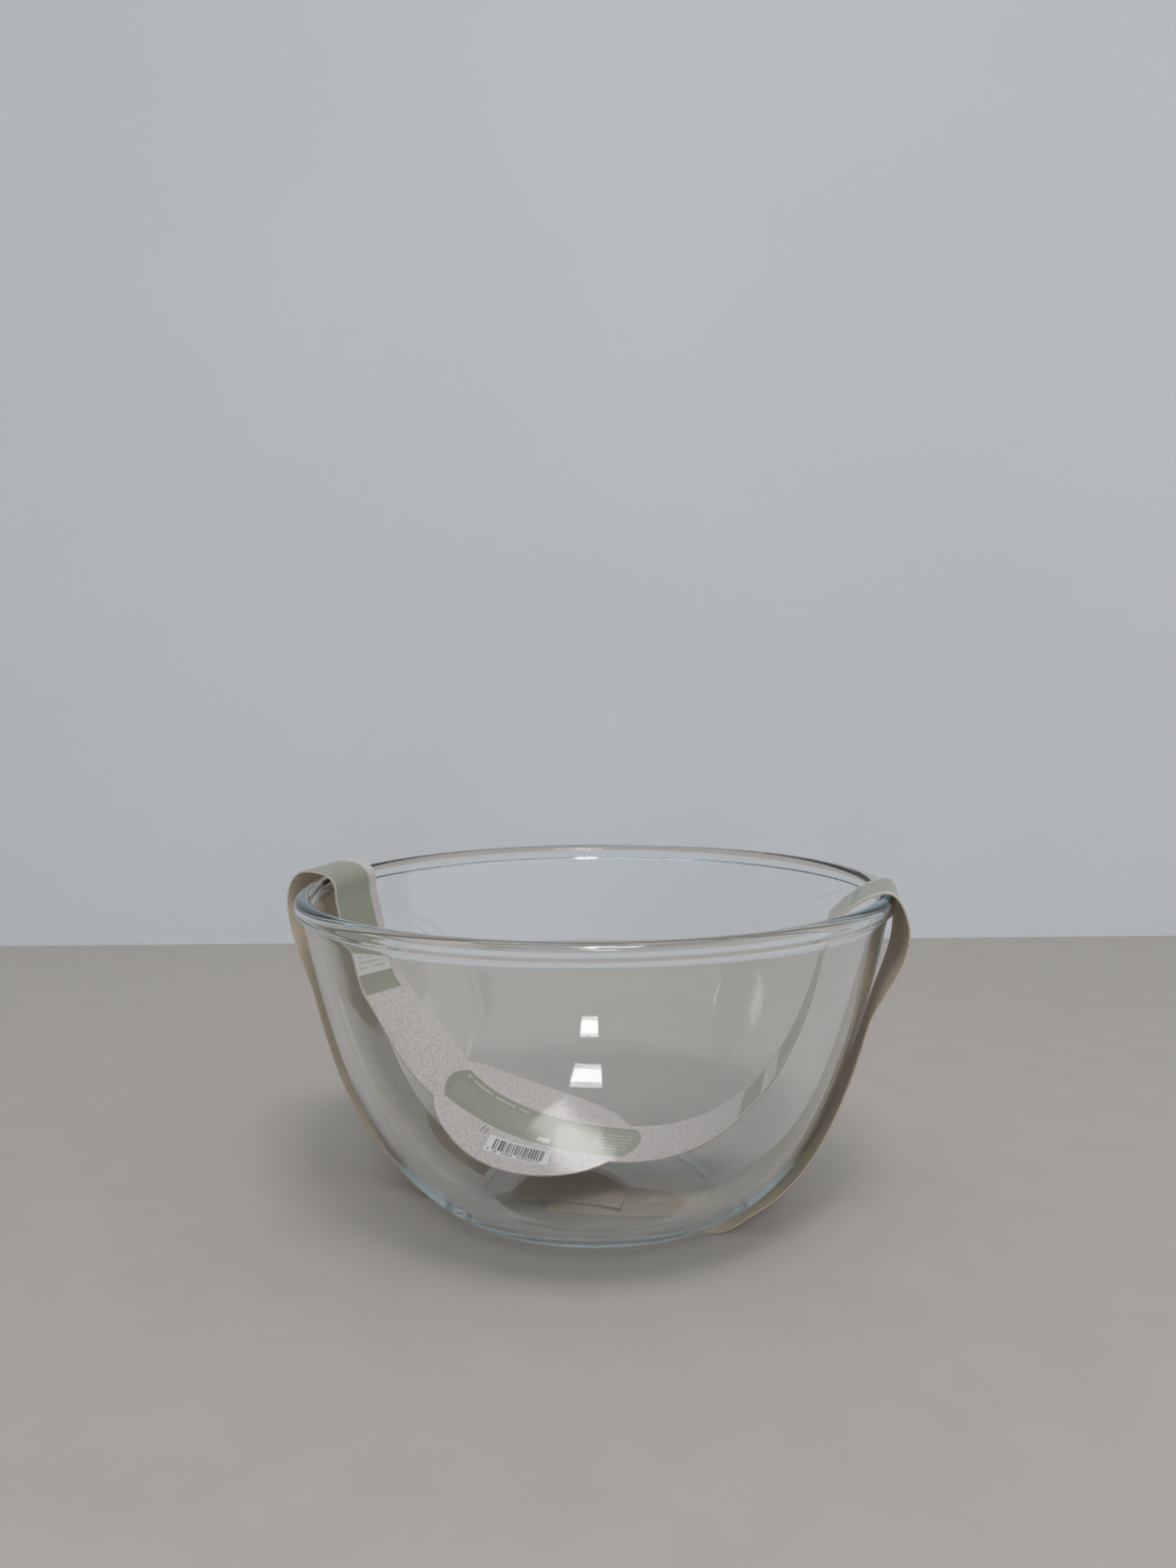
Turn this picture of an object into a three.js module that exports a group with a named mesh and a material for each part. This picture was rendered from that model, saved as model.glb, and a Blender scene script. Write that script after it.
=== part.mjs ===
// A clear glass mixing bowl in the printed card band that it is sold in.
// Millimetres, +Z up. The origin lies on the table, on the bowl's axis.

import * as THREE from 'three';

// Glass bowl
const RIM_RADIUS = 110;
const BOWL_HEIGHT = 121;
const LIP_HEIGHT = 6.4;
const LIP_WIDTH = 6.2;
const LIP_OVERHANG = 2.2; // how far the lip stands out from the wall under it
const WALL_AT_LIP = 3.8;
const WALL_AT_HEEL = 4.8;
const FLOOR_THICKNESS = 5;
const FLOOR_FLAT_RADIUS = 26;
const FOOT_RADIUS = 47.5;
const FOOT_WIDTH = 5;
const FOOT_RECESS = 1; // how far the base is hollowed inside the foot ring
const RECESS_BLEND = 13;
const HEEL_RISE = 0.7; // height of the rounded edge between the foot and the wall
const HEEL_ROUND = 2;
const HEEL_ANGLE = 23; // degrees from level, where the wall leaves the foot
const NECK_ANGLE = 79; // degrees from level, where the wall meets the lip
const HEEL_FULLNESS = 0.22; // how long the wall keeps each end's angle, as a share of its chord
const NECK_FULLNESS = 0.67;

// Card band
const CARD = 0.5;
const BAND_WIDTH = 36;
const BAND_TURN = -14; // degrees about the bowl's axis
const BAND_OFFSET = 4; // how far the band's middle line passes behind the axis
const LEFT_END_OFFSET = -2; // the same under the base, where the ends were glued out of line
const RIGHT_END_OFFSET = -8;
const PANEL_RADIUS = 41;
const PANEL_SHIFT = 36; // from the lowest point of the inner run, along the card
const SAG_AT = 7; // the lowest point of the inner run, across the bowl
const SAG_CLEARANCE = 13.2; // between that point and the glass floor
const LEFT_STANDOFF = 11; // between the outer wall and the card beside it
const RIGHT_STANDOFF = 1.9;
const LEFT_BULGE = 10.8; // how far the card stands out beyond the lip
const RIGHT_BULGE = 1.9;
const LEFT_RISE = 2.2; // between the top of the lip and the card over it
const RIGHT_RISE = 0.77;
const RIGHT_SHOULDER_GAP = 13.7; // between the lip's inside and the card that leans in from it
const LEAVE_DEPTH = 46; // how far below the rim the left run leaves the inner wall
const INSIDE_GAP = 1.1; // between that wall and the card's nearer edge
const LEFT_TWIST = 7; // degrees at most: the left run's back edge stands higher than its front edge
const RIGHT_TWIST = -8; // degrees at most: the right leg's back edge lies closer to the glass
const LEFT_WALL_SHARES = [0.1, 0.3, 0.6]; // heights where the legs follow the wall, over the bowl's
const RIGHT_WALL_SHARES = [0.62, 0.4, 0.2, 0.07];
const OUTSIDE_LEAN = 7; // degrees from upright: the left leg under the lip
const INSIDE_LEAN = 12; // the left run just inside the lip
const LEAVE_LEAN = 38; // the left run where it leaves the wall
const SHOULDER_LEAN = 8.5; // the right run near the lip
const USUAL_REACH = 0.36; // how long the card keeps its way beside a knot, as a share of the span
const LEFT_ARCH_REACH = { before: 0.4, after: 0.85 };
const INSIDE_REACH = { before: 0.25 };
const LEAVE_REACH = { before: 0.12, after: 0.33 };
const SAG_REACH = { before: 0.56, after: 0.4 };
const SHOULDER_REACH = { before: 0.4, after: 0.1 };
const RIGHT_ARCH_REACH = { before: 0.29, after: 0.31 };
const RIGHT_BULGE_REACH = { before: 0.36 };

// Lap under the base
const LAP_LENGTH = 27;
const LAP_RAMP = 9;
const GLUE_THICKNESS = 0.3;
const GLUE_LENGTH = 19;
const GLUE_WIDTH = 22;

// Barcode label
const LABEL_LENGTH = 24.5;
const LABEL_WIDTH = 12.8;
const LABEL_THICKNESS = 0.2;
const LABEL_GAP = 0.15;
const LABEL_ANGLE = 7; // degrees, because it was stuck on by hand
const LABEL_ALONG_OFFSET = 3.3; // from the panel's centre, along the card
const LABEL_ACROSS_OFFSET = 24.8; // from the panel's centre towards the front edge

// Fits and fineness
const CLEARANCE = 0.35;
const TURNS = 64;
const WALL_STEPS = 15;
const ROUND_STEPS = 3;
const STATION_LENGTH = 5;
const PANEL_STATIONS = 28;
const LABEL_STEPS = 8;
const SLOPE_STEP = 1;
const ARCH_STATION_LENGTH = 1.6;
const LEAST_STATION_LENGTH = 1;

const FOOT_LEVEL = CARD + CLEARANCE;
const RIM_LEVEL = FOOT_LEVEL + BOWL_HEIGHT;
const FLOOR_LEVEL = FOOT_LEVEL + FLOOR_THICKNESS;

const flat = (across, up) => new THREE.Vector2(across, up);

function along(degrees) {
  const angle = THREE.MathUtils.degToRad(degrees);
  return flat(Math.cos(angle), Math.sin(angle));
}

// A smooth curve that leaves one point at an angle and reaches another at an angle
function bend(from, fromAngle, fromReach, to, toAngle, toReach) {
  const leave = from.clone().addScaledVector(along(fromAngle), fromReach);
  const arrive = to.clone().addScaledVector(along(toAngle), -toReach);
  return new THREE.CubicBezierCurve(from, leave, arrive, to);
}

function radiusAt(points, level) {
  const next = points.findIndex((point) => point.y >= level);
  if (next < 1) return points[next === 0 ? 0 : points.length - 1].x;
  const low = points[next - 1];
  const high = points[next];
  return THREE.MathUtils.mapLinear(level, low.y, high.y, low.x, high.x);
}

// The bowl's wall: the outside is one curve, and the inside follows it at the glass's thickness
const heel = flat(FOOT_RADIUS, FOOT_LEVEL + HEEL_RISE);
const neck = flat(RIM_RADIUS - LIP_OVERHANG, RIM_LEVEL - LIP_HEIGHT);
const wallChord = heel.distanceTo(neck);
const outerWall = bend(
  heel, HEEL_ANGLE, HEEL_FULLNESS * wallChord, neck, NECK_ANGLE, NECK_FULLNESS * wallChord,
);
const outerPoints = outerWall.getPoints(WALL_STEPS);
const innerPoints = outerPoints.map((point, index) => {
  const share = index / WALL_STEPS;
  const thickness = WALL_AT_LIP + (WALL_AT_HEEL - WALL_AT_LIP) * (1 - share) ** 2;
  const tangent = outerWall.getTangent(share);
  return point.clone().addScaledVector(flat(-tangent.y, tangent.x), thickness);
});

function lipPoints() {
  const middle = RIM_RADIUS - LIP_WIDTH / 2;
  const half = LIP_WIDTH / 2;
  const shoulder = RIM_LEVEL - half;
  const under = new THREE.QuadraticBezierCurve(
    neck, flat(RIM_RADIUS, neck.y), flat(RIM_RADIUS, neck.y + LIP_OVERHANG),
  );
  const dome = new THREE.EllipseCurve(middle, shoulder, half, half, 0, Math.PI);
  return [...under.getPoints(ROUND_STEPS).slice(1), ...dome.getPoints(ROUND_STEPS * 4)];
}

function floorPoints() {
  const corner = innerPoints[0];
  const edge = flat(FLOOR_FLAT_RADIUS, FLOOR_LEVEL);
  const reach = corner.distanceTo(edge) / 3;
  const blend = bend(corner, HEEL_ANGLE - 180, reach, edge, 180, reach);
  return [...blend.getPoints(ROUND_STEPS * 2).slice(1), flat(0, FLOOR_LEVEL)];
}

function basePoints() {
  const ceiling = FOOT_LEVEL + FOOT_RECESS;
  const ringInside = FOOT_RADIUS - HEEL_ROUND - FOOT_WIDTH;
  const recess = bend(
    flat(ringInside - RECESS_BLEND, ceiling), 0, RECESS_BLEND / 2,
    flat(ringInside, FOOT_LEVEL), 0, RECESS_BLEND / 4,
  );
  const ringOutside = flat(FOOT_RADIUS - HEEL_ROUND, FOOT_LEVEL);
  const corner = bend(ringOutside, 0, HEEL_ROUND / 3, heel, HEEL_ANGLE, HEEL_ROUND / 3);
  return [
    flat(0, ceiling),
    ...recess.getPoints(ROUND_STEPS),
    ...corner.getPoints(ROUND_STEPS).slice(0, -1),
  ];
}

function glassGeometry() {
  const profile = [
    ...basePoints(),
    ...outerPoints,
    ...lipPoints(),
    ...innerPoints.slice().reverse(),
    ...floorPoints(),
  ];
  return new THREE.LatheGeometry(profile, TURNS).rotateX(Math.PI / 2);
}

// The band's route is drawn in the upright plane that it lies in, from its left end round to its right end.
// Each knot is a point and the way that the card heads there.
const halfCard = CARD / 2;
const halfBand = BAND_WIDTH / 2;
const lowLayer = halfCard;
const topLayer = CARD + GLUE_THICKNESS + halfCard;
const widestEdge = halfBand + Math.abs(BAND_OFFSET);

// How far from the axis the card can lie inside the glass, with its wider edge clear
function insideReach(level) {
  const lipInside = RIM_RADIUS - LIP_WIDTH;
  const glass = level > innerPoints.at(-1).y ? lipInside : radiusAt(innerPoints, level);
  return Math.sqrt((glass - INSIDE_GAP) ** 2 - widestEdge ** 2) - CARD;
}

function wallKnot(side, share, standoff) {
  const level = share * BOWL_HEIGHT;
  const radius = radiusAt(outerPoints, level);
  const run = radiusAt(outerPoints, level + SLOPE_STEP) - radius;
  const slope = THREE.MathUtils.radToDeg(Math.atan2(SLOPE_STEP, run));
  return { at: flat(side * (radius + standoff), level), heading: 180 + side * slope };
}

const lowest = {
  at: flat(SAG_AT, FLOOR_LEVEL + SAG_CLEARANCE + halfCard), heading: 0, ...SAG_REACH,
};
const leaveLevel = RIM_LEVEL - LEAVE_DEPTH;
const leave = {
  at: flat(-insideReach(leaveLevel), leaveLevel), heading: LEAVE_LEAN - 90, ...LEAVE_REACH,
};
const bulgeLevel = RIM_LEVEL - 2 * LIP_HEIGHT;
const leftBulge = { at: flat(-RIM_RADIUS - LEFT_BULGE, bulgeLevel), heading: 90 + OUTSIDE_LEAN };
const overRim = RIM_LEVEL + halfCard;
const lipMiddle = RIM_RADIUS - LIP_WIDTH / 2;
const rightCrown = { at: flat(lipMiddle, overRim + RIGHT_RISE), heading: 0, ...RIGHT_ARCH_REACH };
const rightBulge = { at: flat(RIM_RADIUS + RIGHT_BULGE, bulgeLevel), heading: -90, ...RIGHT_BULGE_REACH };

function bandKnots() {
  const lipInside = RIM_LEVEL - LIP_HEIGHT - CLEARANCE;
  const leftCrown = lipMiddle + (LEFT_BULGE + LIP_WIDTH) / 3;
  const shoulder = insideReach(lipInside) - RIGHT_SHOULDER_GAP;
  return [
    { at: flat(LAP_LENGTH / 2, topLayer), heading: 180 },
    { at: flat(-LAP_LENGTH / 2, topLayer), heading: 180 },
    { at: flat(-LAP_LENGTH / 2 - LAP_RAMP, lowLayer), heading: 180 },
    { at: flat(-FOOT_RADIUS - LEFT_STANDOFF, lowLayer), heading: 180 },
    ...LEFT_WALL_SHARES.map((share) => wallKnot(-1, share, LEFT_STANDOFF)),
    leftBulge,
    { at: flat(-leftCrown, overRim + LEFT_RISE), heading: 0, ...LEFT_ARCH_REACH },
    {
      at: flat(-insideReach(lipInside), lipInside - LIP_HEIGHT / 2),
      heading: INSIDE_LEAN - 90,
      ...INSIDE_REACH,
    },
    leave,
    lowest,
    { at: flat(shoulder, lipInside - LIP_HEIGHT), heading: 90 - SHOULDER_LEAN, ...SHOULDER_REACH },
    rightCrown,
    rightBulge,
    ...RIGHT_WALL_SHARES.map((share) => wallKnot(1, share, RIGHT_STANDOFF)),
    { at: flat(FOOT_RADIUS, lowLayer), heading: 180 },
    { at: flat(-LAP_LENGTH / 2, lowLayer), heading: 180 },
  ];
}

const knots = bandKnots();

function bandCurves() {
  return knots.slice(1).map((knot, index) => {
    const last = knots[index];
    const span = last.at.distanceTo(knot.at);
    return bend(
      last.at, last.heading, (last.after ?? USUAL_REACH) * span,
      knot.at, knot.heading, (knot.before ?? USUAL_REACH) * span,
    );
  });
}

const route = new THREE.CurvePath();
bandCurves().forEach((curve) => route.add(curve));
const routeEnds = route.getCurveLengths();
const routeLength = route.getLength();
const distanceTo = (knot) => routeEnds[knots.indexOf(knot) - 1];
const leftLegTop = distanceTo(leftBulge);
const rightLegTop = distanceTo(rightBulge);
const panelAt = distanceTo(lowest) - PANEL_SHIFT;
const leftTwistStart = distanceTo(leave);
const leftTwistEnd = panelAt - PANEL_RADIUS / 2;
const rightTwistStart = distanceTo(rightCrown);
const rightTwistEnd = routeEnds[knots.indexOf(rightBulge)];
const panelHalfLength = Math.sqrt(PANEL_RADIUS ** 2 - halfBand ** 2);

// The card's middle line beside the plane through the axis
function offsetAt(distance) {
  if (distance < leftLegTop) {
    return THREE.MathUtils.mapLinear(distance, 0, leftLegTop, LEFT_END_OFFSET, BAND_OFFSET);
  }
  if (distance > rightLegTop) {
    return THREE.MathUtils.mapLinear(distance, rightLegTop, routeLength, BAND_OFFSET, RIGHT_END_OFFSET);
  }
  return BAND_OFFSET;
}

function halfWidthAt(distance) {
  const fromPanel = Math.abs(distance - panelAt);
  if (fromPanel >= panelHalfLength) return halfBand;
  return Math.sqrt(PANEL_RADIUS ** 2 - fromPanel ** 2);
}

// A smooth rise from 0 to 1 and back
function swell(distance, start, peak, end) {
  const { smoothstep } = THREE.MathUtils;
  return smoothstep(distance, start, peak) * (1 - smoothstep(distance, peak, end));
}

function twistAt(distance) {
  const leftPeak = (leftTwistStart + leftTwistEnd) / 2;
  const left = LEFT_TWIST * swell(distance, leftTwistStart, leftPeak, leftTwistEnd);
  const right = RIGHT_TWIST * swell(distance, rightTwistStart, rightLegTop, rightTwistEnd);
  return THREE.MathUtils.degToRad(left + right);
}

// A point on the card: along it, across it from its middle line, and above its middle layer
function cardPoint(distance, across, above) {
  const share = THREE.MathUtils.clamp(distance / routeLength, 0, 1);
  const point = route.getPoint(share);
  const tangent = route.getTangent(share);
  const turned = flat(across, above).rotateAround(flat(0, 0), twistAt(distance));
  const lifted = point.addScaledVector(flat(-tangent.y, tangent.x), turned.y);
  return new THREE.Vector3(lifted.x, offsetAt(distance) + turned.x, lifted.y);
}

function bandStations() {
  const stations = [];
  const archLevel = leftBulge.at.y - LIP_HEIGHT;
  routeEnds.forEach((end, index) => {
    const start = index ? routeEnds[index - 1] : 0;
    const arch = Math.max(knots[index].at.y, knots[index + 1].at.y) > archLevel;
    const step = arch ? ARCH_STATION_LENGTH : STATION_LENGTH;
    const count = Math.ceil((end - start) / step);
    for (let i = 0; i < count; i += 1) stations.push(start + ((end - start) * i) / count);
  });
  stations.push(routeLength);
  const panelRoom = panelHalfLength + LEAST_STATION_LENGTH;
  const clear = stations.filter((distance) => Math.abs(distance - panelAt) > panelRoom);
  const corner = Math.asin(halfBand / PANEL_RADIUS);
  for (let i = 0; i <= PANEL_STATIONS; i += 1) {
    const angle = THREE.MathUtils.mapLinear(i, 0, PANEL_STATIONS, corner, Math.PI - corner);
    clear.push(panelAt - PANEL_RADIUS * Math.cos(angle));
  }
  return clear.sort((a, b) => a - b);
}

// A closed skin over rows of four corners each: front and back, above and below
function ribbonGeometry(rows) {
  const positions = rows.flat().flatMap((corner) => corner.toArray());
  const faces = [];
  const quad = (a, b, c, d) => faces.push(a, b, c, a, c, d);
  for (let row = 0; row + 1 < rows.length; row += 1) {
    for (let side = 0; side < 4; side += 1) {
      const here = row * 4 + side;
      const beside = row * 4 + ((side + 1) % 4);
      quad(here, beside, beside + 4, here + 4);
    }
  }
  const end = (rows.length - 1) * 4;
  quad(3, 2, 1, 0);
  quad(end, end + 1, end + 2, end + 3);
  const geometry = new THREE.BufferGeometry();
  geometry.setAttribute('position', new THREE.Float32BufferAttribute(positions, 3));
  geometry.setIndex(faces);
  geometry.computeVertexNormals();
  return geometry;
}

function bandGeometry() {
  const rows = bandStations().map((distance) => {
    const half = halfWidthAt(distance);
    return [
      cardPoint(distance, -half, halfCard),
      cardPoint(distance, -half, -halfCard),
      cardPoint(distance, half, -halfCard),
      cardPoint(distance, half, halfCard),
    ];
  });
  return ribbonGeometry(rows);
}

function glueGeometry() {
  const middle = (LEFT_END_OFFSET + RIGHT_END_OFFSET) / 2;
  const pad = new THREE.BoxGeometry(GLUE_LENGTH, GLUE_WIDTH, GLUE_THICKNESS);
  return pad.translate(0, middle, CARD + GLUE_THICKNESS / 2);
}

function labelGeometry() {
  const tilt = THREE.MathUtils.degToRad(LABEL_ANGLE);
  const under = halfCard + LABEL_GAP;
  const place = (lengthwise, widthwise, above) => cardPoint(
    panelAt + LABEL_ALONG_OFFSET + lengthwise * Math.cos(tilt) - widthwise * Math.sin(tilt),
    -LABEL_ACROSS_OFFSET + lengthwise * Math.sin(tilt) + widthwise * Math.cos(tilt),
    above,
  );
  const rows = [];
  for (let i = 0; i <= LABEL_STEPS; i += 1) {
    const lengthwise = LABEL_LENGTH * (i / LABEL_STEPS - 0.5);
    rows.push([
      place(lengthwise, -LABEL_WIDTH / 2, under + LABEL_THICKNESS),
      place(lengthwise, -LABEL_WIDTH / 2, under),
      place(lengthwise, LABEL_WIDTH / 2, under),
      place(lengthwise, LABEL_WIDTH / 2, under + LABEL_THICKNESS),
    ]);
  }
  return ribbonGeometry(rows);
}

function part(name, geometry, color, roughness, extra = {}) {
  const material = new THREE.MeshStandardMaterial({ color, roughness, metalness: 0, ...extra });
  const mesh = new THREE.Mesh(geometry, material);
  mesh.name = name;
  return mesh;
}

const bowl = part('glass_bowl', glassGeometry(), '#cfdcda', 0.03, { transparent: true, opacity: 0.35 });

const band = new THREE.Group();
band.rotation.z = THREE.MathUtils.degToRad(BAND_TURN);
band.add(part('paper_band', bandGeometry(), '#a5a09e', 0.85));
band.add(part('lap_glue', glueGeometry(), '#c9c2ae', 0.6));
band.add(part('barcode_label', labelGeometry(), '#dcdcd8', 0.6));

const assembly = new THREE.Group();
assembly.add(bowl, band);

export default assembly;
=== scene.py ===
"""A clear glass mixing bowl in its printed card band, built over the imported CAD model."""

import bisect
import math

import bpy
from bpy.props import FloatProperty, FloatVectorProperty, PointerProperty
from mathutils import Matrix, Vector


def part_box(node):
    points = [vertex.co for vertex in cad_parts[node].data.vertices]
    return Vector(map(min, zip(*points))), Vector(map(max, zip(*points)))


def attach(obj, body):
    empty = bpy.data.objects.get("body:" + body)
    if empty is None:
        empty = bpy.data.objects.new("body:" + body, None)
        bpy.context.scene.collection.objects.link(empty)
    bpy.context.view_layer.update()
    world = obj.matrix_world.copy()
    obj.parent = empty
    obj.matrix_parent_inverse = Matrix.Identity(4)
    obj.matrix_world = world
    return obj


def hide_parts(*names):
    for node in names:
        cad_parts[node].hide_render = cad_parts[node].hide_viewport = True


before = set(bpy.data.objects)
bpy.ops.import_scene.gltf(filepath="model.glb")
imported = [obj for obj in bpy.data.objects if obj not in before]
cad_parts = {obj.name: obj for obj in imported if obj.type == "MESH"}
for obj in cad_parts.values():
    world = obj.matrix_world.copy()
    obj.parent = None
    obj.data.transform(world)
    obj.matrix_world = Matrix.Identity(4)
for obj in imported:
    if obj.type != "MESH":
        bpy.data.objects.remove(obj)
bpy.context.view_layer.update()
glass_low, glass_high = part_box("glass_bowl")

bl_info = {
    "name": "Banded mixing bowl",
    "version": (1, 0, 0),
    "blender": (4, 5, 0),
    "location": "3D View > Sidebar > Mixing bowl",
    "description": "Builds a glass mixing bowl with its card band, label and glue, and a plain stage",
    "category": "Add Mesh",
}

MM = 0.001

# The card's route: where its legs follow the wall, as shares of the bowl's height, and how long it keeps
# its way before and after each knot, as shares of the span to the next knot
LEFT_WALL_SHARES = (0.1, 0.3, 0.6)
RIGHT_WALL_SHARES = (0.62, 0.4, 0.2, 0.07)
RIGHT_LEG_KNOT = f"right wall {RIGHT_WALL_SHARES[0]}"
USUAL_REACH = 0.36
LEFT_ARCH_REACH = (0.4, 0.85)
INSIDE_REACH = (0.25, USUAL_REACH)
LEAVE_REACH = (0.12, 0.33)
SAG_REACH = (0.56, 0.4)
SHOULDER_REACH = (0.4, 0.1)
RIGHT_ARCH_REACH = (0.29, 0.31)

# The print on the left and the right arm, in millimetres from the round panel's centre: where the ink
# block, the white patch and the ink over the lip begin, and how far they lean for each millimetre across
ARM_PRINTS = ((83.0, 91.5, 101.0), (90.0, 102.0, 111.5))
ARM_SLANTS = (0.12, 0.0)
PRINT_HALF_WIDTH = 14.4
BAR_PITCH = 1.06

# The stage, in metres: how far the table and the wall go on, where the ceiling lamps hang over the table,
# and the small light near the wall with the spot that it faces
STAGE_REACH = 6.0
CEILING_LAMPS = {"ceiling_lamp": (0.11, -0.62), "far_ceiling_lamp": (0.12, -1.7)}
STRIP_SIDES = (0.045, 0.034)
STRIP_ASIDE, STRIP_FROM_WALL, STRIP_HEIGHT = 0.02, 0.018, 0.226
STRIP_TARGET = (0, 0.01, 0.02)
ROOM_TINT = (0.94, 0.97, 1.0, 1)

# The camera that the photo's rim lines, base and outline give
CAMERA_PLACE = (0.0, -0.42196, 0.19016)
CAMERA_LENS = 25.875
CAMERA_PITCH = 4.273
CAMERA_ROLL = -0.561
CAMERA_YAW = -0.288


def size(name, description, millimetres):
    """A length that a user may change."""
    return FloatProperty(
        name=name, description=description, default=millimetres * MM,
        precision=4, subtype="DISTANCE", unit="LENGTH",
    )


def angle(name, description, degrees):
    """An angle that a user may change."""
    return FloatProperty(
        name=name, description=description, default=math.radians(degrees),
        subtype="ANGLE", unit="ROTATION",
    )


def share(name, description, default):
    """A plain number that a user may change."""
    return FloatProperty(name=name, description=description, default=default)


def linear(level):
    """One channel of a screen colour, from 0 to 255, as light."""
    part = level / 255
    return part / 12.92 if part <= 0.04045 else ((part + 0.055) / 1.055) ** 2.4


def colour(name, description, red, green, blue):
    """A colour that a user may change, in screen levels."""
    return FloatVectorProperty(
        name=name, description=description, subtype="COLOR", size=4, min=0, max=1,
        default=(linear(red), linear(green), linear(blue), 1),
    )


class GlassSettings(bpy.types.PropertyGroup):
    """Sizes and finish of the pressed glass bowl."""

    rim_radius: size("Rim radius", "Outside radius of the lip", (glass_high.x - glass_low.x) / 2 / MM)
    height: size("Height", "From the foot to the top of the lip", (glass_high.z - glass_low.z) / MM)
    foot_level: size("Foot level", "Height of the foot above the table, on the card", glass_low.z / MM)
    lip_height: size("Lip height", "Height of the bead round the rim", 6.4)
    lip_width: size("Lip width", "Thickness of the bead round the rim", 6.2)
    lip_overhang: size("Lip overhang", "How far the bead stands out from the wall", 2.2)
    neck_fillet: size("Neck fillet", "Rounding in the corner under the bead", 0.9)
    wall_at_lip: size("Wall at lip", "Thickness of the glass under the bead", 3.8)
    wall_at_heel: size("Wall at heel", "Thickness of the glass above the foot", 4.8)
    floor_thickness: size("Floor thickness", "Thickness of the glass above the foot's level", 5)
    floor_flat_radius: size("Floor flat radius", "Radius of the flat middle of the floor", 26)
    foot_radius: size("Foot radius", "Outside radius of the foot ring", 47.5)
    foot_width: size("Foot width", "Width of the ring that stands on the card", 5)
    foot_recess: size("Foot recess", "How far the base is hollowed inside the ring", 1)
    recess_blend: size("Recess blend", "Length of the slope from the ring to the hollow", 13)
    heel_rise: size("Heel rise", "Height of the rounded edge above the foot", 0.7)
    heel_round: size("Heel round", "Width of that rounded edge", 2)
    heel_angle: angle("Heel angle", "Slope of the wall where it leaves the foot", 23)
    neck_angle: angle("Neck angle", "Slope of the wall where it meets the lip", 79)
    heel_fullness: share("Heel fullness", "How long the wall keeps the heel's slope", 0.22)
    neck_fullness: share("Neck fullness", "How long the wall keeps the neck's slope", 0.67)
    tint: colour("Tint", "What light through thick glass turns to", 196, 228, 235)
    tint_density: share("Tint density", "How fast the tint grows with thickness", 7)


class BandSettings(bpy.types.PropertyGroup):
    """Sizes and inks of the card band."""

    card: size("Card", "Thickness of the card", 0.5)
    width: size("Width", "Width of the strap", 36)
    turn: angle("Turn", "Turn of the band about the bowl's axis", -14)
    offset: size("Offset", "How far the strap's middle line passes behind the axis", 4)
    left_end_offset: size("Left end offset", "The same at the left end, under the base", -2)
    right_end_offset: size("Right end offset", "The same at the right end, under the base", -8)
    panel_radius: size("Panel radius", "Radius of the round panel", 41)
    panel_shift: size("Panel shift", "From the lowest point back to the panel's centre", 36)
    sag_at: size("Sag at", "The lowest point of the inner run, across the bowl", 7)
    sag_clearance: size("Sag clearance", "Between that point and the glass floor", 13.2)
    left_standoff: size("Left standoff", "Between the outer wall and the left leg", 11)
    right_standoff: size("Right standoff", "Between the outer wall and the right leg", 1.9)
    left_bulge: size("Left bulge", "How far the left leg stands out beyond the lip", 10.8)
    right_bulge: size("Right bulge", "How far the right leg stands out beyond the lip", 1.9)
    left_rise: size("Left rise", "Between the lip's top and the card, on the left", 2.2)
    right_rise: size("Right rise", "Between the lip's top and the card, on the right", 0.77)
    shoulder_gap: size("Shoulder gap", "Between the lip's inside and the right run beside it", 13.7)
    leave_depth: size("Leave depth", "How far below the rim the left run leaves the wall", 46)
    inside_gap: size("Inside gap", "Between that wall and the card's nearer edge", 1.1)
    left_twist: angle("Left twist", "How far the left run leans across its length", 7)
    right_twist: angle("Right twist", "How far the right leg leans across its length", -8)
    outside_lean: angle("Outside lean", "Lean of the left leg under the lip", 7)
    inside_lean: angle("Inside lean", "Lean of the left run inside the lip", 12)
    leave_lean: angle("Leave lean", "Lean of the left run where it leaves the wall", 38)
    shoulder_lean: angle("Shoulder lean", "Lean of the right run near the lip", 8.5)
    clearance: size("Clearance", "Room between the card and the lip", 0.35)
    lap_length: size("Lap length", "Overlap of the two ends under the base", 27)
    lap_ramp: size("Lap ramp", "Length of the upper end's slope down to the table", 9)
    glue_thickness: size("Glue thickness", "Between the two ends", 0.3)
    warm_card: colour("Warm card", "The warmer tone of the speckled card", 209, 195, 190)
    cool_card: colour("Cool card", "The cooler tone of the speckled card", 197, 190, 187)
    dark_fleck: colour("Dark fleck", "The dark flecks in the card", 102, 97, 98)
    light_fleck: colour("Light fleck", "The light flecks in the card", 220, 216, 211)
    ink: colour("Ink", "The sage ink of the panels", 131, 134, 107)
    white: colour("White", "The white patches", 214, 212, 206)
    small_print: colour("Small print", "The lines in the white patches", 128, 126, 122)
    kraft: colour("Kraft", "The unprinted face", 226, 213, 191)
    kraft_fibre: colour("Kraft fibre", "The darker fibres of that face", 203, 188, 163)
    edge: colour("Edge", "The cut edge of the card", 184, 174, 158)


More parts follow.
